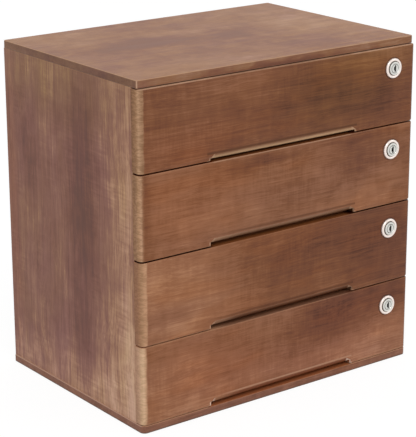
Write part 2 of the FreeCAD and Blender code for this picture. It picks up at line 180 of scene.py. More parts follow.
def buildStudio(setup):
    world = bpy.data.worlds.new("room")
    bpy.context.scene.world = world
    world.use_nodes = True
    tree = world.node_tree
    tree.nodes.clear()
    strength = step(tree, seenDirectly(tree), 0.0, 1.0, setup["ambient"], 1.0)
    background = addNode(tree, "ShaderNodeBackground", {"Color": (1, 1, 1, 1), "Strength": strength})
    addNode(tree, "ShaderNodeOutputWorld", {"Surface": background.outputs[0]})

    material, tree = newMaterial("floorWhite")
    diffuse = addNode(tree, "ShaderNodeBsdfDiffuse", {"Color": (0.9, 0.9, 0.9, 1)})
    glow = addNode(tree, "ShaderNodeEmission", {"Color": (1, 1, 1, 1), "Strength": setup["floorGlow"]})
    share = maths(tree, "MULTIPLY", seenDirectly(tree), setup["floorShow"])
    finishMaterial(tree, addNode(tree, "ShaderNodeMixShader", {0: share, 1: diffuse.outputs[0], 2: glow.outputs[0]}))
    half = setup["floorSize"] / 2
    mesh = bpy.data.meshes.new("floor")
    corners = [(-half, -half), (half, -half), (half, half), (-half, half)]
    mesh.from_pydata([(x, y, setup["floorHeight"]) for x, y in corners], [], [(0, 1, 2, 3)])
    floor = bpy.data.objects.new("floor", mesh)
    mesh.materials.append(material)
    bpy.context.scene.collection.objects.link(floor)

    for name, place, size, power in setup["lamps"]:
        lamp = bpy.data.lights.new(name, "AREA")
        lamp.size = size
        lamp.energy = power
        holder = bpy.data.objects.new(name, lamp)
        aim = Vector(setup["lampAim"]) - Vector(place)
        holder.matrix_world = Matrix.Translation(place) @ aim.to_track_quat("-Z", "Y").to_matrix().to_4x4()
        bpy.context.scene.collection.objects.link(holder)


buildStudio(studio)
print("studio ready")


# stained wood, places in mm: tone runs from 0, where the stain lies darkest, to 1
def placeInMm(tree):
    coordinates = addNode(tree, "ShaderNodeTexCoord").outputs["Object"]
    return vectorMaths(tree, "MULTIPLY", coordinates, (1000, 1000, 1000))


def split(tree, place):
    return addNode(tree, "ShaderNodeSeparateXYZ", {0: place}).outputs


def radiusOf(tree, x, z):
    return maths(tree, "SQRT", maths(tree, "ADD", maths(tree, "MULTIPLY", x, x), maths(tree, "MULTIPLY", z, z)))


def woodPoint(tree, along, offset):
    inMm = placeInMm(tree)
    parts = split(tree, inMm)
    order = {"x": (0, 1, 2), "y": (1, 0, 2), "z": (2, 1, 0)}[along]
    turned = addNode(tree, "ShaderNodeCombineXYZ", {i: parts[order[i]] for i in range(3)}).outputs[0]
    return inMm, vectorMaths(tree, "ADD", turned, offset)


def grain(tree, point, length, width, *settings):
    return noise(tree, vectorMaths(tree, "MULTIPLY", point, (1 / length, 1 / width, 1 / width)), *settings)


def wandered(tree, place, scale, reach):  # place pushed about by a slow noise, so that soft edges wander
    wander = addNode(tree, "ShaderNodeTexNoise", {"Vector": place, "Scale": scale, "Detail": 2.5}).outputs[1]
    centred = vectorMaths(tree, "SUBTRACT", wander, (0.5, 0.5, 0.5))
    push = vectorMaths(tree, "MULTIPLY", centred, (reach, reach, reach))
    return vectorMaths(tree, "ADD", place, push)


def patchMask(tree, moved, patch, strength):
    x, y, z, reachX, reachY, reachZ = patch[:6]
    offset = vectorMaths(tree, "SUBTRACT", moved, (x, y, z))
    scaled = vectorMaths(tree, "MULTIPLY", offset, (1 / reachX, 1 / reachY, 1 / reachZ))
    return step(tree, vectorMaths(tree, "LENGTH", scaled), 0.1, 1.3, strength, 0.0)


def within(tree, value, low, high, soft):  # 1 where value lies between low and high
    rising = step(tree, value, low - soft, low + soft)
    return maths(tree, "MULTIPLY", rising, step(tree, value, high - soft, high + soft, 1.0, 0.0))


def allOf(tree, masks):
    result = masks[0]
    for mask in masks[1:]:
        result = maths(tree, "MULTIPLY", result, mask)
    return result


def boxArris(tree, place, low, high, width):
    # 1 along the edges of a board, 0 on its faces
    centre = tuple((a + b) / 2 for a, b in zip(low, high))
    half = tuple((b - a) / 2 for a, b in zip(low, high))
    outward = vectorMaths(tree, "ABSOLUTE", vectorMaths(tree, "SUBTRACT", place, centre))
    inward = vectorMaths(tree, "SUBTRACT", half, outward)
    x, y, z = split(tree, inward)
    lower = maths(tree, "MINIMUM", x, y)
    upper = maths(tree, "MAXIMUM", x, y)
    middle = maths(tree, "MAXIMUM", lower, maths(tree, "MINIMUM", upper, z))
    return step(tree, middle, 0.25 * width, width, 1.0, 0.0)


# noises of the wood: length along the grain and width in mm, detail, roughness, distortion
woodFigure = {
    "bend": (130, 45, 1.0),
    "blotch": (85, 34, 3.0, 0.55),
    "bands": (260, 8, 2.0),
    "streaks": (110, 2.2, 2.5, 0.6),
    "fibres": (26, 0.55, 2.0, 0.6),
    "lines": (120, 1.7, 2.0),
    "cloud": (34, 24, 4.0, 0.62, 0.4),
    "mottle": (11, 38, 2.0, 0.55, 0.5),
    "ripple": (2.6, 24, 1.0, 0.5),
    "rippled": (80, 40, 1.0),
    "pores": (6.5, 0.3, 1.0),
}
# what a wood takes where its recipe says nothing
woodDefaults = {
    "bend": 14.0,
    "lines": 0.0,
    "ripple": 0.12,
    "wander": 60,
    "warmthSize": (95, 30),
    "warmTint": (1.06, 0.98, 0.88, 1),
    "coolTint": (0.98, 0.98, 1.08, 1),
    # arris: strength of the painted edge highlight and wear, then its width in mm and its colour
    "arris": 0.5,
    "arrisWidth": 1.0,
    "arrisColour": (196, 150, 112),
    "patches": (),
    "tints": (),
    "painted": (),
}


def woodMaterial(name, recipe, box=None):
    recipe = dict(woodDefaults, **recipe)
    material, tree = newMaterial(name)
    place, point = woodPoint(tree, recipe["along"], recipe["offset"])
    bend = around(tree, grain(tree, point, *woodFigure["bend"]), recipe["bend"])
    bent = vectorMaths(tree, "ADD", point, addNode(tree, "ShaderNodeCombineXYZ", {1: bend, 2: bend}).outputs[0])
    blotch, bands, streaks, fibres = (
        grain(tree, bent, *woodFigure[key]) for key in ("blotch", "bands", "streaks", "fibres")
    )
    lines = step(tree, grain(tree, vectorMaths(tree, "ADD", bent, (37, 210, 81)), *woodFigure["lines"]), 0.58, 0.76)
    cloud, mottle, ripple = (grain(tree, point, *woodFigure[key]) for key in ("cloud", "mottle", "ripple"))
    elsewhere = vectorMaths(tree, "ADD", point, (77, 310, 19))
    rippled = step(tree, grain(tree, elsewhere, *woodFigure["rippled"]), 0.45, 0.65)
    pores = step(tree, grain(tree, bent, *woodFigure["pores"]), 0.66, 0.74)
    tone = [
        around(tree, blotch, recipe["blotch"]),
        around(tree, bands, recipe["bands"]),
        around(tree, streaks, recipe["streaks"]),
        around(tree, fibres, recipe["fibres"]),
        around(tree, cloud, recipe["cloud"]),
        around(tree, mottle, recipe["mottle"]),
        maths(tree, "MULTIPLY", lines, -recipe["lines"]),
        maths(tree, "MULTIPLY", around(tree, ripple, recipe["ripple"]), rippled),
        maths(tree, "MULTIPLY", pores, -recipe["pores"]),
    ]
    moved = wandered(tree, place, 0.016, recipe["wander"])
    for patch in recipe["patches"]:
        tone.append(patchMask(tree, moved, patch, patch[6]))
    tone = maths(tree, "ADD", total(tree, tone), recipe["tone"], clamp=True)
    colour = rampOf(tree, tone, recipe["colours"])
    warmth = grain(tree, vectorMaths(tree, "ADD", bent, (410, 95, 30)), *recipe["warmthSize"], 2.5)
    for low, high, tint in ((0.5, 0.66, recipe["warmTint"]), (0.5, 0.34, recipe["coolTint"])):
        colour = blend(tree, step(tree, warmth, low, high), colour, tint, "MULTIPLY")
    for patch in recipe["tints"]:
        colour = blend(tree, patchMask(tree, moved, patch, 1.0), colour, patch[6] + (1.0,), "MULTIPLY")
    if box:
        # painted highlight along the board's edges, which are also a little worn there
        arris = maths(tree, "MULTIPLY", boxArris(tree, place, box[0], box[1], recipe["arrisWidth"]), recipe["arris"])
        colour = blend(tree, arris, colour, toLinear(recipe["arrisColour"]))
    for paint, settings in recipe["painted"]:
        colour = paint(tree, place, colour, settings)
    height = maths(tree, "SUBTRACT", maths(tree, "MULTIPLY", fibres, 0.35), pores)
    bump = addNode(tree, "ShaderNodeBump", {"Height": height, "Strength": 0.35, "Distance": 0.00006})
    poresRough = maths(tree, "ADD", maths(tree, "MULTIPLY", pores, 0.12), recipe["rough"])
    rough = maths(tree, "ADD", around(tree, streaks, 0.12), poresRough)
    inputs = {
        "Base Color": colour, "Roughness": rough, "Specular IOR Level": recipe["shine"], "Normal": bump.outputs[0],
    }
    finishMaterial(tree, addNode(tree, "ShaderNodeBsdfPrincipled", inputs))
    return material


def paleEndsAndShade(tree, place, colour, ends):
    # the left end of a front is sanded pale, with a painted highlight palest on its rounded corner, its year rings
    # short ticks the right end, turning away, gets painted shade
    x, y = split(tree, place)[:2]
    fromLeft = maths(tree, "ADD", x, ends["halfWidth"])
    behind = maths(tree, "SUBTRACT", y, ends["frontY"])
    across = maths(tree, "SUBTRACT", fromLeft, behind)
    # the pale end's colours from the joint to the corner, with the painted highlight on the rounding
    pale = rampOf(tree, across, ends["colours"], -12.0, 8.0)
    ticks = noise(tree, vectorMaths(tree, "MULTIPLY", place, (0.12, 0.16, 1 / ends["tick"])), 2.5, 0.6, 0.9)
    cloud = noise(tree, vectorMaths(tree, "MULTIPLY", place, (0.05, 0.05, 0.045)), 2.0)
    pale = blend(tree, step(tree, ticks, 0.4, 0.6, 0.0, ends["figure"]), pale, (0.66, 0.62, 0.56, 1), "MULTIPLY")
    pale = blend(tree, step(tree, cloud, 0.35, 0.7, 0.0, 0.6), pale, (0.9, 0.9, 0.87, 1), "MULTIPLY")
    wave = around(tree, noise(tree, vectorMaths(tree, "MULTIPLY", place, (0.05, 0.05, 0.08)), 2.0), 2.4)
    reach, soft = ends["reach"], ends["soft"]
    edge = step(tree, maths(tree, "ADD", fromLeft, wave), reach - soft, reach + soft, 1.0, 0.0)
    colour = blend(tree, edge, colour, pale)
    # painted shade on the right end
    right = step(tree, x, ends["halfWidth"] - 4.5, ends["halfWidth"] - 1.0, 0.0, 0.8)
    return blend(tree, right, colour, toLinear(ends["right"]))


def pullBevel(tree, place, colour, pull):
    # the bevelled edge of the finger recess shows barer wood, lighter towards its left and darker towards its right;
    # the recess behind it gets painted shade
    x, y, z = split(tree, place)
    above = maths(tree, "SUBTRACT", z, pull["bottom"])
    height, depth = pull["height"], pull["depth"]
    along = within(tree, x, -pull["halfWidth"] - 0.6, pull["halfWidth"] + 0.6, 0.2)
    nearBy = maths(tree, "MULTIPLY", along, within(tree, above, -1.0, height + 0.25, 0.15))
    behind = maths(tree, "SUBTRACT", y, pull["frontY"])
    bevelled = maths(tree, "MULTIPLY", nearBy, within(tree, behind, 0.12, depth + 0.1, 0.08))
    inside = maths(tree, "MULTIPLY", nearBy, step(tree, behind, depth + 0.1, depth + 0.4))
    # a band above the recess's upper edge, darker on the upper fronts, a painted highlight with wear on the lowest
    fromLine = maths(tree, "ABSOLUTE", maths(tree, "SUBTRACT", above, height + pull["lineUp"]))
    soft = step(tree, fromLine, 0.3, pull["lineWide"], 1.0, 0.0)
    leftFade = step(tree, x, -pull["halfWidth"], -0.5 * pull["halfWidth"], 1.0 - pull["leftLight"], 1.0)
    line = allOf(tree, [along, soft, leftFade, step(tree, behind, 0.05, 0.15, 1.0, 0.0)])
    colour = blend(tree, maths(tree, "MULTIPLY", line, pull["line"]), colour, toLinear(pull["lineColour"]))
    uneven = noise(tree, vectorMaths(tree, "MULTIPLY", place, (0.03, 0.5, 0.5)), 3.0, 0.6)
    band = rampOf(tree, maths(tree, "ADD", above, around(tree, uneven, 1.6)), pull["colours"], 3.0, 9.0)
    leftPart = step(tree, x, -pull["halfWidth"], -0.5 * pull["halfWidth"], pull["leftLight"], 0.0)
    band = blend(tree, leftPart, band, toLinear(pull["leftColour"]))
    # painted highlights near the bevel's two ends
    fromLeftEnd = maths(tree, "SUBTRACT", x, pull["leftEnd"])
    fromEnd = maths(tree, "MINIMUM", fromLeftEnd, maths(tree, "SUBTRACT", pull["rightEnd"], x))
    ends = step(tree, fromEnd, 4.5, 7.0, pull["endLight"], 0.0)
    band = blend(tree, ends, band, toLinear(pull["endColour"]))
    # painted highlights on the bevel's slanted corners
    leftCorner = [
        within(tree, x, pull["leftEnd"] - 1.0, pull["leftEnd"] + 1.0, 0.6),
        step(tree, above, 3.0, 6.0, pull["endLight"], 0.0),
    ]
    rightCorner = [
        within(tree, x, pull["rightEnd"] - 0.4, pull["rightEnd"] + 1.6, 0.5),
        step(tree, above, 0.9, 1.9, pull["endLight"], 0.0),
    ]
    # painted shade on the recess's steep right end
    rightEnd = [
        within(tree, x, pull["rightEnd"] - 1.6, pull["rightEnd"] + 0.2, 0.1), within(tree, above, 1.5, 5.0, 0.3),
        step(tree, behind, 0.02, 0.12),
    ]
    colour = blend(tree, allOf(tree, rightEnd), colour, toLinear(pull["inside"]))
    corners = maths(tree, "MAXIMUM", allOf(tree, leftCorner), allOf(tree, rightCorner))
    colour = blend(tree, corners, colour, toLinear(pull["endColour"]))
    rightPart = step(tree, x, 0.45 * pull["halfWidth"], 0.85 * pull["halfWidth"], 0.0, pull["rightDark"])
    band = blend(tree, rightPart, band, (0.68, 0.62, 0.56, 1), "MULTIPLY")
    colour = blend(tree, bevelled, colour, band)
    # painted shade inside the recess
    return blend(tree, inside, colour, toLinear(pull["inside"]))


def frontEdges(tree, place, colour, edges):
    # a front's upper and lower edges, lighter in places from wear and a painted highlight, and the faces inside the
    # gaps painted with shade, with light instead where the gap colour is pale
    x, y, z = split(tree, place)
    below = maths(tree, "SUBTRACT", edges["top"], z)
    above = maths(tree, "SUBTRACT", z, edges["bottom"])
    behind = step(tree, y, edges["frontY"] + edges["gapFrom"], edges["frontY"] + edges["gapFrom"] + 0.6)
    byPull = step(tree, maths(tree, "ABSOLUTE", x), 86, 92, 1.0, 0.0)
    # the wear and painted highlight of the edges vary along the front
    paintMask = step(tree, noise(tree, vectorMaths(tree, "MULTIPLY", place, (0.03, 0, 0)), 3.0, 0.6), 0.3, 0.6, 0.55, 1.0)
    for distance, (outside, inside, width, rgb) in ((below, edges["upper"]), (above, edges["lower"])):
        strength = maths(tree, "ADD", maths(tree, "MULTIPLY", byPull, inside - outside), outside)
        line = allOf(tree, [step(tree, distance, 0.35 * width, width, 1.0, 0.0), strength, paintMask])
        colour = blend(tree, line, colour, toLinear(rgb))
    # painted shade in the gaps, painted light where the gap colour is pale
    for distance, rgb in ((below, edges["upperGap"]), (above, edges["lowerGap"])):
        inGap = maths(tree, "MULTIPLY", step(tree, distance, 0.1, 0.35, 1.0, 0.0), behind)
        colour = blend(tree, inGap, colour, toLinear(rgb))
    # painted light in the gap at the left of the lowest front
    if "leftGap" in edges:
        seen = step(tree, y, edges["frontY"] + 0.2, edges["frontY"] + 0.5)
        atLeft = allOf(tree, [step(tree, x, -100, -60, 1.0, 0.0), step(tree, below, 0.1, 0.35, 1.0, 0.0), seen])
        colour = blend(tree, atLeft, colour, toLinear(edges["leftGap"]))
    # under a recess the upper face takes its own colour in place of the gap's painted shade
    underPull = allOf(tree, [byPull, behind, step(tree, below, 0.1, 0.35, edges["pullTopShare"], 0.0)])
    return blend(tree, underPull, colour, toLinear(edges["pullTop"]))


def lockShadow(tree, place, colour, shadowRing):
    # painted contact shadow: the wood darkened in a thin ring round the lock's collar
    x, y, z = split(tree, vectorMaths(tree, "SUBTRACT", place, shadowRing["centre"]))
    radius = radiusOf(tree, x, z)
    ring = step(tree, radius, shadowRing["from"], shadowRing["to"], shadowRing["strength"], 0.0)
    return blend(tree, ring, colour, toLinear(shadowRing["colour"]))


def edgeFaces(tree, place, colour, edges):
    # the cut edges of a board, below its upper face, took the stain differently, the two ends darkest; the front-left
    # corner gets a painted highlight
    x, y, z = split(tree, place)
    lower = step(tree, z, edges["top"] - 0.9, edges["top"] - 0.4, 1.0, 0.0)
    colour = blend(tree, lower, colour, edges["tint"] + (1.0,), "MULTIPLY")
    atEnd = step(tree, maths(tree, "ABSOLUTE", x), edges["halfWidth"] - 0.6, edges["halfWidth"] - 0.1)
    ends = maths(tree, "MULTIPLY", lower, atEnd)
    stain = noise(tree, vectorMaths(tree, "MULTIPLY", place, (0.02, 0.02, 0.1)), 3.0, 0.6)
    uneven = step(tree, stain, 0.35, 0.65, 0.55, 1.0)
    colour = blend(tree, maths(tree, "MULTIPLY", ends, uneven), colour, edges["endTint"] + (1.0,), "MULTIPLY")
    # painted highlight on the front-left corner
    fromFront = maths(tree, "SUBTRACT", y, edges["frontY"])
    fromCorner = maths(tree, "MAXIMUM", maths(tree, "ADD", x, edges["halfWidth"]), fromFront)
    return blend(tree, step(tree, fromCorner, 0.7, 1.6, 0.8, 0.0), colour, toLinear(edges["cornerColour"]))


def baseTop(tree, place, colour, top):
    # the base board shows redder wood below the lowest recess, a painted highlight along its upper side edges, and
    # painted light on its upper face where the gap beside the recess shows it
    x, y, z = split(tree, place)
    upper = step(tree, z, top["height"] - 0.25, top["height"] - 0.1)
    under = step(tree, maths(tree, "ABSOLUTE", x), top["reach"] - 2, top["reach"], 1.0, 0.0)
    colour = blend(tree, maths(tree, "MULTIPLY", upper, under), colour, toLinear(top["colour"]))
    # painted highlight along the upper side edges
    atSide = step(tree, maths(tree, "ABSOLUTE", x), top["side"] - 1.2, top["side"] - 0.9)
    ledge = maths(tree, "MULTIPLY", step(tree, z, top["height"] - 1.2, top["height"] - 0.5), atSide)
    colour = blend(tree, ledge, colour, toLinear(top["ledge"]))
    # painted light in the gap beside the recess
    besidePull = step(tree, maths(tree, "ABSOLUTE", x), top["reach"], top["reach"] + 2)
    uppermost = step(tree, z, top["height"] - 0.7, top["height"] - 0.3)
    inFront = step(tree, y, top["frontY"] + 3.0, top["frontY"] + 4.0, 1.0, 0.0)
    return blend(tree, allOf(tree, [uppermost, besidePull, inFront]), colour, toLinear(top["joint"]))


def lowLine(tree, place, colour, line):
    # a board's lowest mm made greyer and darker
    z = split(tree, place)[2]
    low = step(tree, z, line["from"], line["to"], line["strength"], 0.0)
    grey = maths(tree, "MULTIPLY", low, step(tree, z, line["foot"], line["foot"] + 0.15))
    return blend(tree, grey, colour, toLinear(line["colour"]))


def boxInMm(node):
    low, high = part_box(node)
    return tuple(c / mm for c in low), tuple(c / mm for c in high)


def dress(node, material):
    mesh = nodes[node].data
    mesh.materials.clear()
    mesh.materials.append(material)


frontHalf = boxInMm("base_board")[1][0]
frontY = boxInMm("base_board")[0][1]

frontWood = {
    "along": "x",
    "colours": [
        (0.0, (92, 53, 36)), (0.25, (120, 73, 49)), (0.42, (133, 84, 54)), (0.6, (149, 99, 70)),
        (0.75, (158, 107, 77)), (1.0, (184, 133, 100)),
    ],
    "blotch": 0.34,
    "bands": 0.24,
    "streaks": 0.46,
    "fibres": 0.62,
    "mottle": 0.28,
    "ripple": 0.24,
    "pores": 0.14,
    "rough": 0.46,
    "shine": 0.16,
    "arris": 0.2,
    "ends": {
        "halfWidth": frontHalf,
        "frontY": frontY,
        "tick": 2.4,
        "figure": 0.8,
        "reach": 5.6,
        "soft": 1.0,
        # right: the colour of the painted shade on the right end
        "right": (92, 60, 50),
    },
    "pull": {
        "frontY": frontY,
        "halfWidth": 95.5,
        "height": 8.0,
        "depth": 1.8,
        "leftEnd": -92.6,
        "rightEnd": 95.5,
        # endLight: strength of the painted highlights at the recess's ends
        "endLight": 0.5,
        "endColour": (222, 180, 148),
        "leftLight": 0.0,
        "rightDark": 0.0,
        "leftColour": (166, 126, 98),
        # inside: the colour of the recess's painted shade, lighter on the lowest front
        "inside": (72, 40, 20),
        "line": 0.6,
        "lineUp": 1.6,
        "lineWide": 2.0,
        "lineColour": (104, 60, 34),
    },
    "cloud": 0.5,
    "lines": 0.06,
    "warmTint": (1.04, 0.99, 0.91, 1),
    "coolTint": (0.98, 0.99, 1.04, 1),
}

# what differs from drawer to drawer
# a patch or tint is its x, y, z and its reach in x, y, z, in mm, then the change of tone or the tint
# an edge's line is its strength beside the recess and at it, its width in mm and its colour, pale ones a painted
# highlight and wear; a gap's colour is painted shade where dark and painted light where pale
deep = 9000  # a reach that takes in all of that direction
frontMarks = {
    1: {
        "tone": 0.37,
        "cloud": 0.34,
        "blotch": 0.26,
        "wander": 36,
        "recessLower": (1.2, 1.9),  # its upper edge, its ceiling
        "edges": {
            "gapFrom": 3.6, "pullTopShare": 0.0, "upper": (0.8, 0.5, 0.5, (220, 180, 150)),
            "lower": (0.0, 0.0, 1.0, (60, 25, 10)), "upperGap": (110, 66, 44), "lowerGap": (88, 34, 12),
        },
        "patches": [
            (-60, 0, 336, 60, deep, 16, 0.14),
            (75, 0, 308, 100, deep, 40, -0.18),
            (150, 0, 290, 60, deep, 34, -0.08),
            (25, 0, 283, 60, deep, 22, -0.05),
            (-135, 0, 290, 60, deep, 30, 0.06),
            (130, 0, 344, 90, deep, 15, 0.17),
        ],
        "tints": [
            (130, 0, 342, 90, deep, 18, (0.99, 1.03, 0.93)), (75, 0, 315, 90, deep, 44, (0.97, 1.03, 0.82)),
            (-120, 0, 285, 80, deep, 30, (1.04, 0.97, 0.95)),
        ],
        "ends": {
            "colours": [
                (-12, (146, 103, 71)), (-6, (172, 128, 92)), (-1, (204, 162, 128)), (1, (190, 148, 115)),
                (4, (172, 130, 98)),
            ]
        },
        "pull": {
            "colours": [(3.6, (206, 166, 128)), (5.0, (198, 158, 122)), (6.2, (156, 114, 82)), (7.8, (110, 68, 42))],
            "line": 0.75, "lineUp": 0.7, "lineColour": (92, 54, 30),
        },
    },
    2: {
        "tone": 0.56,
        "blotch": 0.5,
        "wander": 40,
        "edges": {
            "upper": (0.15, 0.8, 1.6, (182, 142, 114)), "lower": (0.1, 0.0, 1.0, (182, 142, 114)),
            "upperGap": (88, 34, 12), "lowerGap": (66, 22, 5), "pullTop": (128, 72, 36),
        },
        "patches": [
            (-172, 0, 225, 16, deep, 80, -0.25),
            (95, 0, 244, 60, deep, 26, -0.22),
            (100, 0, 200, 90, deep, 26, 0.14),
            (10, 0, 225, 60, deep, 40, -0.08),
            (-60, 0, 205, 80, deep, 30, 0.08),
            (160, 0, 215, 30, deep, 40, -0.08),
            (0, 0, 256, 90, deep, 12, -0.24),
            (130, 0, 260, 60, deep, 12, -0.14),
        ],
        "tints": [(-120, 0, 225, 80, deep, 50, (1.05, 0.98, 0.90)), (95, 0, 240, 60, deep, 30, (0.98, 0.98, 1.04))],
        "ends": {
            "reach": 4.2,
            "soft": 2.0,
            "tick": 3.2,
            "colours": [
                (-12, (160, 117, 84)), (-8, (166, 123, 89)), (-3, (196, 152, 116)), (1, (208, 162, 129)),
                (4, (166, 120, 88)),
            ],
        },
        "pull": {
            "colours": [(4.4, (118, 82, 58)), (6.0, (148, 108, 82)), (7.8, (146, 104, 78))],
            "leftLight": 0.7,
            "leftColour": (178, 136, 106),
            "lineColour": (96, 54, 30),
            "rightDark": 0.5,
        },
    },
    3: {
        "tone": 0.475,
        "cloud": 0.3,
        "blotch": 0.22,
        "wander": 30,
        "edges": {
            "upper": (0.0, 0.0, 1.0, (60, 25, 10)), "lower": (0.35, 0.0, 1.6, (186, 142, 112)),
            "upperGap": (66, 22, 5), "lowerGap": (150, 96, 66), "pullTop": (138, 80, 42),
        },
        "patches": [
            (-130, 0, 150, 84, deep, 56, 0.30),
            (-170, 0, 150, 20, deep, 80, 0.12),
            (30, 0, 145, 95, deep, 60, -0.22),
            (150, 0, 125, 80, deep, 70, -0.26),
            (130, 0, 176, 70, deep, 12, -0.14),
            (-125, 0, 99, 55, deep, 14, 0.28),
            (-70, 0, 118, 60, deep, 24, 0.12),
            (60, 0, 110, 40, deep, 18, 0.10),
            (110, 0, 155, 80, deep, 30, -0.06),
        ],
        "tints": [(155, 0, 118, 50, deep, 44, (0.98, 0.97, 1.02)), (-130, 0, 160, 70, deep, 36, (1.03, 1.0, 0.92))],
        "ends": {
            "reach": 6.8,
            "soft": 1.2,
            "figure": 0.6,
            "colours": [
                (-12, (158, 112, 82)), (-7, (166, 118, 87)), (-3, (182, 136, 103)), (1, (192, 148, 113)),
                (4, (204, 156, 121)),
            ],
        },
        "pull": {
            "colours": [(4.4, (90, 48, 24)), (6.2, (112, 70, 44)), (7.8, (132, 92, 64))],
            "leftLight": 0.8,
            "leftColour": (178, 134, 104),
            "line": 0.55,
            "lineColour": (80, 42, 22),
            "rightDark": 0.4,
        },
    },
    4: {
        "tone": 0.58,
        "wander": 26,
        "edges": {
            "gapFrom": 5.0, "pullTopShare": 0.3, "upper": (0.0, 0.3, 1.2, (170, 128, 104)),
            "lower": (0.5, 0.2, 1.8, (186, 142, 112)), "upperGap": (150, 100, 72), "lowerGap": (214, 160, 124),
            "leftGap": (206, 152, 116),
        },
        "patches": [
            (110, 0, 84, 120, deep, 32, -0.42),
            (118, 0, 24, 95, deep, 26, 0.28),
            (-140, 0, 55, 60, deep, 60, 0.14),
            (70, 0, 56, 70, deep, 20, -0.10),
            (-80, 0, 22, 130, deep, 16, 0.14),
            (30, 0, 50, 70, deep, 30, -0.08),
            (-130, 0, 9, 60, deep, 12, 0.22),
            (140, 0, 9, 50, deep, 10, 0.16),
        ],
        "tints": [
            (110, 0, 80, 120, deep, 32, (0.98, 0.95, 1.04)), (-100, 0, 50, 80, deep, 50, (1.05, 0.96, 0.92)),
            (60, 0, 30, 160, deep, 50, (1.02, 0.96, 1.02)),
        ],
        "ends": {
            "reach": 5.2,
            "soft": 1.5,
            "figure": 0.5,
            "colours": [
                (-12, (186, 141, 113)), (-6, (210, 167, 136)), (-2, (226, 186, 149)), (1, (236, 196, 159)),
                (4, (220, 175, 139)),
            ],
        },
        "pull": {
            "colours": [(4.0, (134, 76, 46)), (7.8, (140, 86, 58))],
            "leftLight": 0.9,
            "leftColour": (186, 136, 102),
            "inside": (166, 100, 64),
            "endLight": 0.95,
            "endColour": (246, 214, 192),
            "line": 0.9,
            "lineUp": 1.1,
            "lineWide": 1.3,
            "lineColour": (188, 142, 114),
        },
    },
}

edgeDefaults = {"gapFrom": 0.4, "pullTopShare": 1.0, "pullTop": (150, 94, 62)}
# the painted contact shadow round each lock
ringShadow = {"strength": 0.7, "colour": (62, 36, 24)}

# the fronts are the CAD's own, with the recess's steep ends and its bevel's slanted corners
recessEnds = {
    "left": {"end": -92.6, "bevelTop": -86.8, "was": -88.0},
    "right": {"end": 95.5, "bevelTop": 88.8, "was": 88.0},
    "bevel": 0.6,
    "bevelDepth": 1.8,
    "ceiling": 3.9,
    "steepTo": 4.3,
    "height": 8.0,
    "lean": 0.06,  # of the steep ends, mm inwards for each mm up
    "movedTo": 97.0,  # vertices between "was" and this far from the middle are the recess's ends
    "loweredTo": 96.0,  # vertices nearer the middle than this are lowered with the recess
    "slantLength": 4.0,  # the bevel's slanted edge falls more than this
}
nearly = 1e-5  # metres, within which two places are the same


def isSlanted(edge, corner, least):
    other = edge.other_vert(corner).co
    return abs(other.y - corner.co.y) < nearly and other.z < corner.co.z - least


def frontPiece(node, shape, lowered):
    work = bmesh.new()
    work.from_mesh(nodes[node].data)
    bmesh.ops.remove_doubles(work, verts=work.verts, dist=1e-6)
    bmesh.ops.dissolve_limit(work, angle_limit=math.radians(0.5), verts=work.verts, edges=work.edges)
    bottom = min(vert.co.z for vert in work.verts)
    for side in (shape["left"], shape["right"]):
        sign = math.copysign(1, side["was"])
        sought = Vector((side["was"] * mm, frontY * mm, bottom + shape["height"] * mm))
        corner = min(work.verts, key=lambda vert: (vert.co - sought).length)
        falling = [edge for edge in corner.link_edges if isSlanted(edge, corner, shape["slantLength"] * mm)]
        slanted = max(falling, key=lambda edge: edge.calc_length())
        middle = bmesh.utils.edge_split(slanted, corner, 0.5)[1]
        middle.co.z = bottom + shape["steepTo"] * mm
        atDepth = [vert for vert in work.verts if abs(vert.co.y - (frontY + shape["bevelDepth"]) * mm) < nearly]
        inner = [vert for vert in atDepth if abs(vert.co.z - bottom - shape["ceiling"] * mm) < nearly]
        throat = min(inner, key=lambda vert: abs(vert.co.x - side["was"] * mm))
        bmesh.ops.connect_vert_pair(work, verts=[middle, throat])
        corner.co.x = side["bevelTop"] * mm
        for vert in work.verts:
            inRange = abs(side["was"]) * mm < sign * vert.co.x < shape["movedTo"] * mm
            if inRange and vert is not corner and vert.co.z < bottom + (shape["steepTo"] + 0.05) * mm:
                depth = min(max((vert.co.y / mm - frontY) / shape["bevelDepth"], 0.0), 1.0)
                lean = shape["lean"] * (vert.co.z - bottom) / mm
                vert.co.x = (side["end"] - sign * (shape["bevel"] * depth + lean)) * mm
    for vert in work.verts:
        rise = (vert.co.z - bottom) / mm
        if abs(vert.co.x) < shape["loweredTo"] * mm and shape["ceiling"] - 0.1 < rise < shape["height"] + 0.1:
            vert.co.z -= lowered[0 if rise > shape["steepTo"] + 0.1 else 1] * mm
    bmesh.ops.recalc_face_normals(work, faces=work.faces)
    mesh = bpy.data.meshes.new(node.replace("_front", "_facing"))
    work.to_mesh(mesh)
    work.free()
    mesh.shade_smooth()
    mesh.set_sharp_from_angle(angle=math.radians(30))
    piece = bpy.data.objects.new(mesh.name, mesh)
    bpy.context.scene.collection.objects.link(piece)
    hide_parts(node)
    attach(piece, node.replace("_front", ""))
    return piece


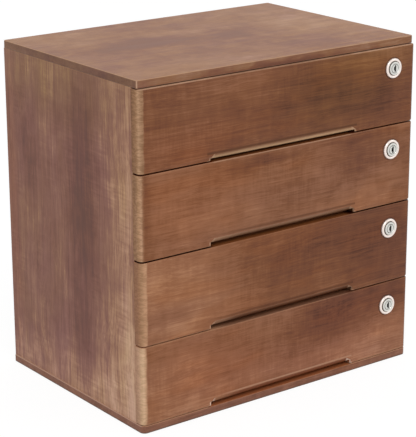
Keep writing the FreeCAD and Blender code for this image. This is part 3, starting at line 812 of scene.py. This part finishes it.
for number, marks in frontMarks.items():
    node = "drawer_%d_front" % number
    box = boxInMm(node)
    ring = boxInMm("lock_%d_barrel" % number)
    centre = ((ring[0][0] + ring[1][0]) / 2, frontY, (ring[0][2] + ring[1][2]) / 2)
    ringRadius = (ring[1][0] - ring[0][0]) / 2
    lowered = marks.get("recessLower", (0.0, 0.0))
    edges = {"top": box[1][2], "bottom": box[0][2], "frontY": frontY, **edgeDefaults, **marks["edges"]}
    shadowRing = {"centre": centre, "from": ringRadius + 0.2, "to": ringRadius + 1.6, **ringShadow}
    painted = [
        (paleEndsAndShade, dict(frontWood["ends"], **marks["ends"])),
        (pullBevel, dict(frontWood["pull"], bottom=box[0][2] - lowered[0], **marks["pull"])),
        (frontEdges, edges),
        (lockShadow, shadowRing),
    ]
    own = {"offset": (number * 431.0, number * 97.0, number * 61.0), "painted": painted}
    own.update({key: marks[key] for key in ("tone", "patches", "tints", "cloud", "blotch", "wander") if key in marks})
    material = woodMaterial("frontWood%d" % number, dict(frontWood, **own), box)
    dress(node, material)
    frontPiece(node, recessEnds, lowered).data.materials.append(material)

sideWood = {
    "along": "z",
    "colours": [
        (0.0, (100, 58, 44)), (0.2, (121, 71, 53)), (0.5, (146, 98, 79)), (0.62, (166, 119, 90)),
        (0.78, (192, 146, 115)), (1.0, (222, 182, 148)),
    ],
    "tone": 0.40,
    "blotch": 0.3,
    "bands": 0.42,
    "streaks": 0.52,
    "fibres": 0.56,
    "mottle": 0.16,
    "ripple": 0.3,
    "pores": 0.14,
    "rough": 0.5,
    "shine": 0.33,
    "arris": 0.3,
    "warmTint": (1.01, 1.03, 0.92, 1),
    "coolTint": (0.99, 0.97, 1.05, 1),
    "patches": [
        (0, -86, 250, deep, 46, 150, 0.19),
        (0, -84, 60, deep, 50, 110, 0.29),
        (0, -20, 215, deep, 36, 160, -0.30),
        (0, 78, 236, deep, 28, 66, -0.14),
        (0, 80, 112, deep, 30, 50, 0.02),
        (0, 80, 175, deep, 44, 46, 0.10),
        (0, -12, 66, deep, 30, 44, -0.08),
        (0, 40, 340, deep, 110, 34, 0.14),
        (0, 10, 4, deep, 190, 56, 0.26),
        (0, -101, 180, deep, 14, 260, 0.22),
    ],
    "tints": [
        (0, 20, 335, deep, 130, 50, (0.97, 1.04, 0.80)),
        (0, 30, 30, deep, 120, 60, (1.0, 0.97, 1.10)),
        (0, -15, 190, deep, 46, 160, (0.98, 0.96, 1.05)),
        (0, 112, 170, deep, 12, 170, (1.08, 0.98, 0.9)),
    ],
    "cloud": 0.5,
    "lines": 0.12,
    "wander": 16,
}
for node, shift in (("left_side_panel", 0), ("right_side_panel", 700)):
    dress(node, woodMaterial(node + "Wood", dict(sideWood, offset=(120 + shift, 40 + shift, 0)), boxInMm(node)))

topLow, topHigh = boxInMm("top_board")
topEdges = {
    "top": topHigh[2],
    "halfWidth": topHigh[0],
    "frontY": topLow[1],
    "tint": (0.74, 0.78, 0.98),
    "endTint": (0.70, 0.66, 0.58),
    "cornerColour": (208, 168, 138),
}
topWood = {
    "along": "x",
    "offset": (900, 300, 50),
    "colours": [
        (0.0, (134, 80, 50)), (0.25, (147, 90, 56)), (0.55, (164, 110, 68)), (0.85, (179, 128, 90)),
        (1.0, (188, 138, 100)),
    ],
    "tone": 0.40,
    "blotch": 0.3,
    "bands": 0.4,
    "streaks": 0.8,
    "fibres": 0.9,
    "mottle": 0.3,
    "ripple": 0.1,
    "pores": 0.1,
    "rough": 0.46,
    "shine": 0.3,
    "arris": 0.55,
    "arrisColour": (212, 174, 142),
    "warmTint": (1.02, 1.01, 0.90, 1),
    "coolTint": (0.98, 0.965, 1.12, 1),
    "patches": [
        (-85, 12, 355, 74, 40, 90, -0.56),
        (30, 0, 355, 50, 38, 90, -0.38),
        (-70, -92, 355, 120, 34, 90, 0.22),
        (-30, -70, 355, 60, 24, 90, -0.16),
        (140, 20, 355, 56, 110, 90, 0.38),
        (-140, 90, 355, 60, 44, 90, 0.24),
        (70, -80, 355, 60, 30, 90, -0.20),
        (60, 90, 355, 70, 40, 90, 0.06),
        (0, -118, 349, 90, 20, 5, -0.60),
        (130, -118, 349, 60, 20, 5, 0.3),
    ],
    "painted": [(edgeFaces, topEdges)],
    "cloud": 1.1,
    "lines": 0.1,
    "warmthSize": (46, 34),
}
dress("top_board", woodMaterial("topWood", topWood, (topLow, topHigh)))

baseLow = boxInMm("base_board")[0][2]
baseLine = {
    "foot": baseLow + 0.02, "from": baseLow + 0.6, "to": baseLow + 2.4, "strength": 0.6, "colour": (98, 82, 74),
}
baseWarm = {
    "height": boxInMm("base_board")[1][2], "reach": 95, "side": frontHalf, "frontY": frontY, "colour": (176, 106, 66),
    "ledge": (194, 154, 132), "joint": (186, 136, 106),
}
baseStops = [(0.0, (92, 58, 48)), (0.4, (128, 84, 64)), (0.7, (158, 110, 88)), (1.0, (184, 136, 110))]
baseWood = dict(
    frontWood, offset=(2100, 77, 11), colours=baseStops, tone=0.53, arris=0.25,
    painted=[(lowLine, baseLine), (baseTop, baseWarm)],
)
dress("base_board", woodMaterial("baseWood", baseWood, boxInMm("base_board")))

backWood = dict(sideWood, offset=(3300, 500, 200), patches=(), tints=(), tone=0.46, arris=0.2)
dress("back_panel", woodMaterial("backWood", backWood, boxInMm("back_panel")))

shelfWood = dict(frontWood, tone=0.45)
for index in (1, 2, 3):
    node = "shelf_%d" % index
    dress(node, woodMaterial("shelfWood%d" % index, dict(shelfWood, offset=(index * 333.0, 900, 70)), boxInMm(node)))

boxWood = {
    "along": "y",
    "offset": (0, 0, 0),
    "colours": [(0.0, (150, 118, 84)), (0.3, (178, 146, 108)), (0.6, (200, 170, 132)), (1.0, (222, 198, 164))],
    "tone": 0.55,
    "blotch": 0.3,
    "bands": 0.3,
    "streaks": 0.3,
    "fibres": 0.2,
    "mottle": 0.1,
    "pores": 0.16,
    "rough": 0.62,
    "shine": 0.3,
    "arris": 0.2,
    "arrisColour": (222, 198, 164),
    "cloud": 0.2,
}
boxSide = woodMaterial("boxSideWood", boxWood)
boxBack = woodMaterial("boxBackWood", dict(boxWood, along="x"))
boxBottom = woodMaterial("boxBottomWood", dict(boxWood, along="x", tone=0.62, offset=(50, 20, 0)))
dowelWood = woodMaterial("dowelWood", dict(boxWood, along="z", tone=0.7))
for number in range(1, 5):
    dress("drawer_%d_left_side" % number, boxSide)
    dress("drawer_%d_right_side" % number, boxSide)
    dress("drawer_%d_back" % number, boxBack)
    dress("drawer_%d_bottom" % number, boxBottom)
dress("top_dowels", dowelWood)
print("wood done")


# metal
lockMetal = {
    "ring": (251, 237, 229),
    "face": (222, 222, 216),
    "ringFrom": 7.4,
    "grooveFrom": 6.5,
    "grooveTo": 7.65,
    "grooveDepth": -1.3,
    "rough": 0.3,
    "metallic": 0.75,
    # dark: the colour of the painted shade in the lock's hollows
    "dark": (34, 30, 27),
    "rimFrom": 4.3,
    "rimTo": 4.75,
    # keyMark: where the painted shade round the keyway lies
    "keyMark": {"left": -0.5, "right": 1.5, "reach": 3.3, "soft": 0.3, "strength": 0.9},
}


def turnedMetal(name, centre, recipe, dark, keyMark=None):
    material, tree = newMaterial(name)
    place = vectorMaths(tree, "SUBTRACT", placeInMm(tree), centre)
    x, y, z = split(tree, place)
    radius = radiusOf(tree, x, z)
    fromAxis = {0: maths(tree, "MULTIPLY", radius, 7.0), 1: maths(tree, "MULTIPLY", y, 3.0)}
    turning = noise(tree, addNode(tree, "ShaderNodeCombineXYZ", fromAxis).outputs[0], 3.0, 0.6)
    spots = noise(tree, vectorMaths(tree, "MULTIPLY", place, (0.35, 0.35, 0.35)), 3.0, 0.6)
    onRing = step(tree, radius, recipe["ringFrom"] - 0.2, recipe["ringFrom"] + 0.2)
    colour = blend(tree, onRing, toLinear(recipe["face"]), toLinear(recipe["ring"]))
    colour = blend(tree, step(tree, spots, 0.4, 0.75, 0.0, 0.25), colour, toLinear((196, 190, 180)))
    metallic = recipe["metallic"]
    # painted shade in the hollows
    for low, high, depth in dark:  # from radius low to high, whatever lies deeper than depth is dark
        shade = maths(tree, "MULTIPLY", within(tree, radius, low, high, 0.12), step(tree, y, depth, depth + 0.15))
        colour = blend(tree, shade, colour, toLinear(recipe["dark"]))
        metallic = maths(tree, "MULTIPLY", maths(tree, "SUBTRACT", 1.0, shade), metallic)
    if keyMark:  # painted shade round the keyway, darkening its edge
        paintMask = [
            within(tree, x, keyMark["left"], keyMark["right"], keyMark["soft"]),
            within(tree, z, -keyMark["reach"], keyMark["reach"], keyMark["soft"]),
        ]
        strength = maths(tree, "MULTIPLY", allOf(tree, paintMask), keyMark["strength"])
        colour = blend(tree, strength, colour, toLinear(recipe["dark"]))
    rough = total(tree, [around(tree, turning, 0.16), around(tree, spots, 0.1), recipe["rough"]])
    bump = addNode(tree, "ShaderNodeBump", {"Height": turning, "Strength": 0.25, "Distance": 0.00003})
    inputs = {"Base Color": colour, "Metallic": metallic, "Roughness": rough, "Normal": bump.outputs[0]}
    shader = addNode(tree, "ShaderNodeBsdfPrincipled", inputs)
    finishMaterial(tree, shader)
    return material


def zincMaterial(name):
    material, tree = newMaterial(name)
    coordinates = addNode(tree, "ShaderNodeTexCoord").outputs["Object"]
    spangle = noise(tree, vectorMaths(tree, "MULTIPLY", coordinates, (900, 900, 900)), 3.0, 0.6)
    colour = blend(tree, step(tree, spangle, 0.35, 0.7), toLinear((170, 166, 158)), toLinear((206, 203, 196)))
    rough = step(tree, spangle, 0.3, 0.7, 0.34, 0.5)
    shader = addNode(tree, "ShaderNodeBsdfPrincipled", {"Base Color": colour, "Metallic": 1.0, "Roughness": rough})
    finishMaterial(tree, shader)
    return material


zinc = zincMaterial("zincPlate")
for number in range(1, 5):
    low, high = boxInMm("lock_%d_barrel" % number)
    centre = ((low[0] + high[0]) / 2, frontY, (low[2] + high[2]) / 2)
    plugFace = boxInMm("lock_%d_plug" % number)[0][1] - frontY
    # painted shade in the ring's groove, in the gap round the plug head and inside the keyway
    groove = (lockMetal["grooveFrom"], lockMetal["grooveTo"], lockMetal["grooveDepth"])
    rim = (lockMetal["rimFrom"], lockMetal["rimTo"], 2 * plugFace)
    dress("lock_%d_barrel" % number, turnedMetal("ringMetal%d" % number, centre, lockMetal, [groove]))
    keyway = (-1.0, 4.5, plugFace + 0.02)
    plugMetal = turnedMetal("plugMetal%d" % number, centre, lockMetal, [keyway, rim], lockMetal["keyMark"])
    dress("lock_%d_plug" % number, plugMetal)
    for piece in ("nut", "cam", "cam_screw"):
        dress("lock_%d_%s" % (number, piece), zinc)
    dress("drawer_%d_nails" % number, zinc)
dress("base_screws", zinc)
dress("back_screws", zinc)
print("metal done")


# countersunk screws with cross recesses, each turned as far as it happened to go
backScrews = {
    "node": "back_screws",
    "tilt": (math.pi / 2, 0.0, 0.0),
    "face": (0.5, 1.0, 0.5),  # where in a screw's box the middle of its head lies
    "Head Radius": 2.9,
    "Head Depth": 1.6,
    "Shank Radius": 1.4,
    "Length": 15.0,
    "Recess Reach": 1.7,
    "Recess Width": 0.62,
    "Recess Depth": 1.0,
    "Seed": 4,
}
baseScrews = {
    "node": "base_screws",
    "tilt": (0.0, 0.0, 0.0),
    "face": (0.5, 0.5, 0.0),
    "Head Radius": 3.9,
    "Head Depth": 2.2,
    "Shank Radius": 1.9,
    "Length": 34.0,
    "Recess Reach": 2.3,
    "Recess Width": 0.8,
    "Recess Depth": 1.4,
    "Seed": 9,
}


def islandBoxes(node):  # the box of each loose part of a CAD piece
    work = bmesh.new()
    work.from_mesh(nodes[node].data)
    bmesh.ops.remove_doubles(work, verts=work.verts, dist=1e-6)
    waiting = set(work.verts)
    boxes = []
    while waiting:
        found = [waiting.pop()]
        for vert in found:
            for edge in vert.link_edges:
                other = edge.other_vert(vert)
                if other in waiting:
                    waiting.remove(other)
                    found.append(other)
        places = [vert.co for vert in found]
        boxes.append(tuple(Vector([pick(place[i] for place in places) for i in range(3)]) for pick in (min, max)))
    work.free()
    return sorted(boxes, key=lambda box: tuple(round(c, 5) for c in box[0]))


def geometryTree(name, inputs):
    tree = bpy.data.node_groups.new(name, "GeometryNodeTree")
    tree.interface.new_socket("Geometry", in_out="OUTPUT", socket_type="NodeSocketGeometry")
    tree.interface.new_socket("Geometry", in_out="INPUT", socket_type="NodeSocketGeometry")
    for key, kind in inputs:
        tree.interface.new_socket(key, in_out="INPUT", socket_type="NodeSocket" + kind)
    return tree, addNode(tree, "NodeGroupInput").outputs


def coneOf(tree, low, high, depth, base=0.0):  # a cone from radius low to radius high, standing at height base
    inputs = {"Vertices": 28, "Radius Bottom": low, "Radius Top": high, "Depth": depth}
    cone = addNode(tree, "GeometryNodeMeshCone", inputs).outputs[0]
    place = addNode(tree, "ShaderNodeCombineXYZ", {2: base}).outputs[0]
    return addNode(tree, "GeometryNodeTransform", {"Geometry": cone, "Translation": place}).outputs[0]


def joined(tree, parts):
    node = tree.nodes.new("GeometryNodeJoinGeometry")
    for part in parts:
        tree.links.new(part, node.inputs[0])
    return node.outputs[0]


def randomTurn(tree, seed):
    node = addNode(tree, "FunctionNodeRandomValue", data_type="FLOAT")
    for socket in node.inputs:
        if socket.enabled and socket.name == "Max":
            socket.default_value = 2 * math.pi
        if socket.enabled and socket.name == "Seed":
            tree.links.new(seed, socket)
    turn = next(socket for socket in node.outputs if socket.enabled)
    return addNode(tree, "ShaderNodeCombineXYZ", {2: turn}).outputs[0]


def screwTree():
    keys = ("Head Radius", "Head Depth", "Shank Radius", "Length", "Recess Reach", "Recess Width", "Recess Depth")
    sizes = [(key, "Float") for key in keys]
    tree, given = geometryTree("screws", sizes + [("Tilt", "Rotation"), ("Seed", "Int"), ("Metal", "Material")])
    head = coneOf(tree, given["Head Radius"], given["Shank Radius"], given["Head Depth"])
    long = maths(tree, "MULTIPLY", given["Recess Reach"], 2.0)
    cutDepth = maths(tree, "MULTIPLY", given["Recess Depth"], 2.0)
    slots = []
    for first, second in ((long, given["Recess Width"]), (given["Recess Width"], long)):
        size = addNode(tree, "ShaderNodeCombineXYZ", {0: first, 1: second, 2: cutDepth}).outputs[0]
        slots.append(addNode(tree, "GeometryNodeMeshCube", {"Size": size}).outputs[0])
    for slot in slots:
        cut = addNode(tree, "GeometryNodeMeshBoolean", {0: head, 1: slot}, operation="DIFFERENCE", solver="EXACT")
        head = cut.outputs[0]
    point = maths(tree, "MULTIPLY", given["Shank Radius"], 1.6)
    straight = maths(tree, "SUBTRACT", maths(tree, "SUBTRACT", given["Length"], given["Head Depth"]), point)
    shank = coneOf(tree, given["Shank Radius"], given["Shank Radius"], straight, given["Head Depth"])
    tip = coneOf(tree, given["Shank Radius"], 0.0, point, maths(tree, "ADD", straight, given["Head Depth"]))
    inputs = {"Geometry": joined(tree, [head, shank, tip]), "Scale": (mm, mm, mm)}
    screw = addNode(tree, "GeometryNodeTransform", inputs).outputs[0]
    inputs = {"Points": given["Geometry"], "Instance": screw, "Rotation": given["Tilt"]}
    placed = addNode(tree, "GeometryNodeInstanceOnPoints", inputs).outputs[0]
    inputs = {"Instances": placed, "Rotation": randomTurn(tree, given["Seed"]), "Local Space": True}
    turned = addNode(tree, "GeometryNodeRotateInstances", inputs).outputs[0]
    real = addNode(tree, "GeometryNodeRealizeInstances", {"Geometry": turned}).outputs[0]
    finished = addNode(tree, "GeometryNodeSetMaterial", {"Geometry": real, "Material": given["Metal"]}).outputs[0]
    addNode(tree, "NodeGroupOutput", {"Geometry": finished})
    return tree


def grown(name, points, tree, values):  # the tree's result on those points, as a plain mesh
    carrier = bpy.data.objects.new(name + "Points", bpy.data.meshes.new(name + "Points"))
    carrier.data.from_pydata(points, [], [])
    bpy.context.scene.collection.objects.link(carrier)
    modifier = carrier.modifiers.new(name, "NODES")
    modifier.node_group = tree
    for socket in tree.interface.items_tree:
        if socket.in_out == "INPUT" and socket.name in values:
            modifier[socket.identifier] = values[socket.name]
    bpy.context.view_layer.update()
    evaluated = carrier.evaluated_get(bpy.context.evaluated_depsgraph_get())
    mesh = bpy.data.meshes.new_from_object(evaluated)
    carrier.modifiers.remove(modifier)
    bpy.data.objects.remove(carrier)
    piece = bpy.data.objects.new(name, mesh)
    bpy.context.scene.collection.objects.link(piece)
    return piece


screws = screwTree()
for recipe, name in ((backScrews, "crossScrewsBack"), (baseScrews, "crossScrewsBase")):
    heads = [
        tuple(low[i] + (high[i] - low[i]) * recipe["face"][i] for i in range(3))
        for low, high in islandBoxes(recipe["node"])
    ]
    piece = grown(name, heads, screws, dict(recipe, Tilt=recipe["tilt"], Metal=zinc))
    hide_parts(recipe["node"])
    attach(piece, "case")
    print(name, len(heads), "screws,", len(piece.data.polygons), "faces")
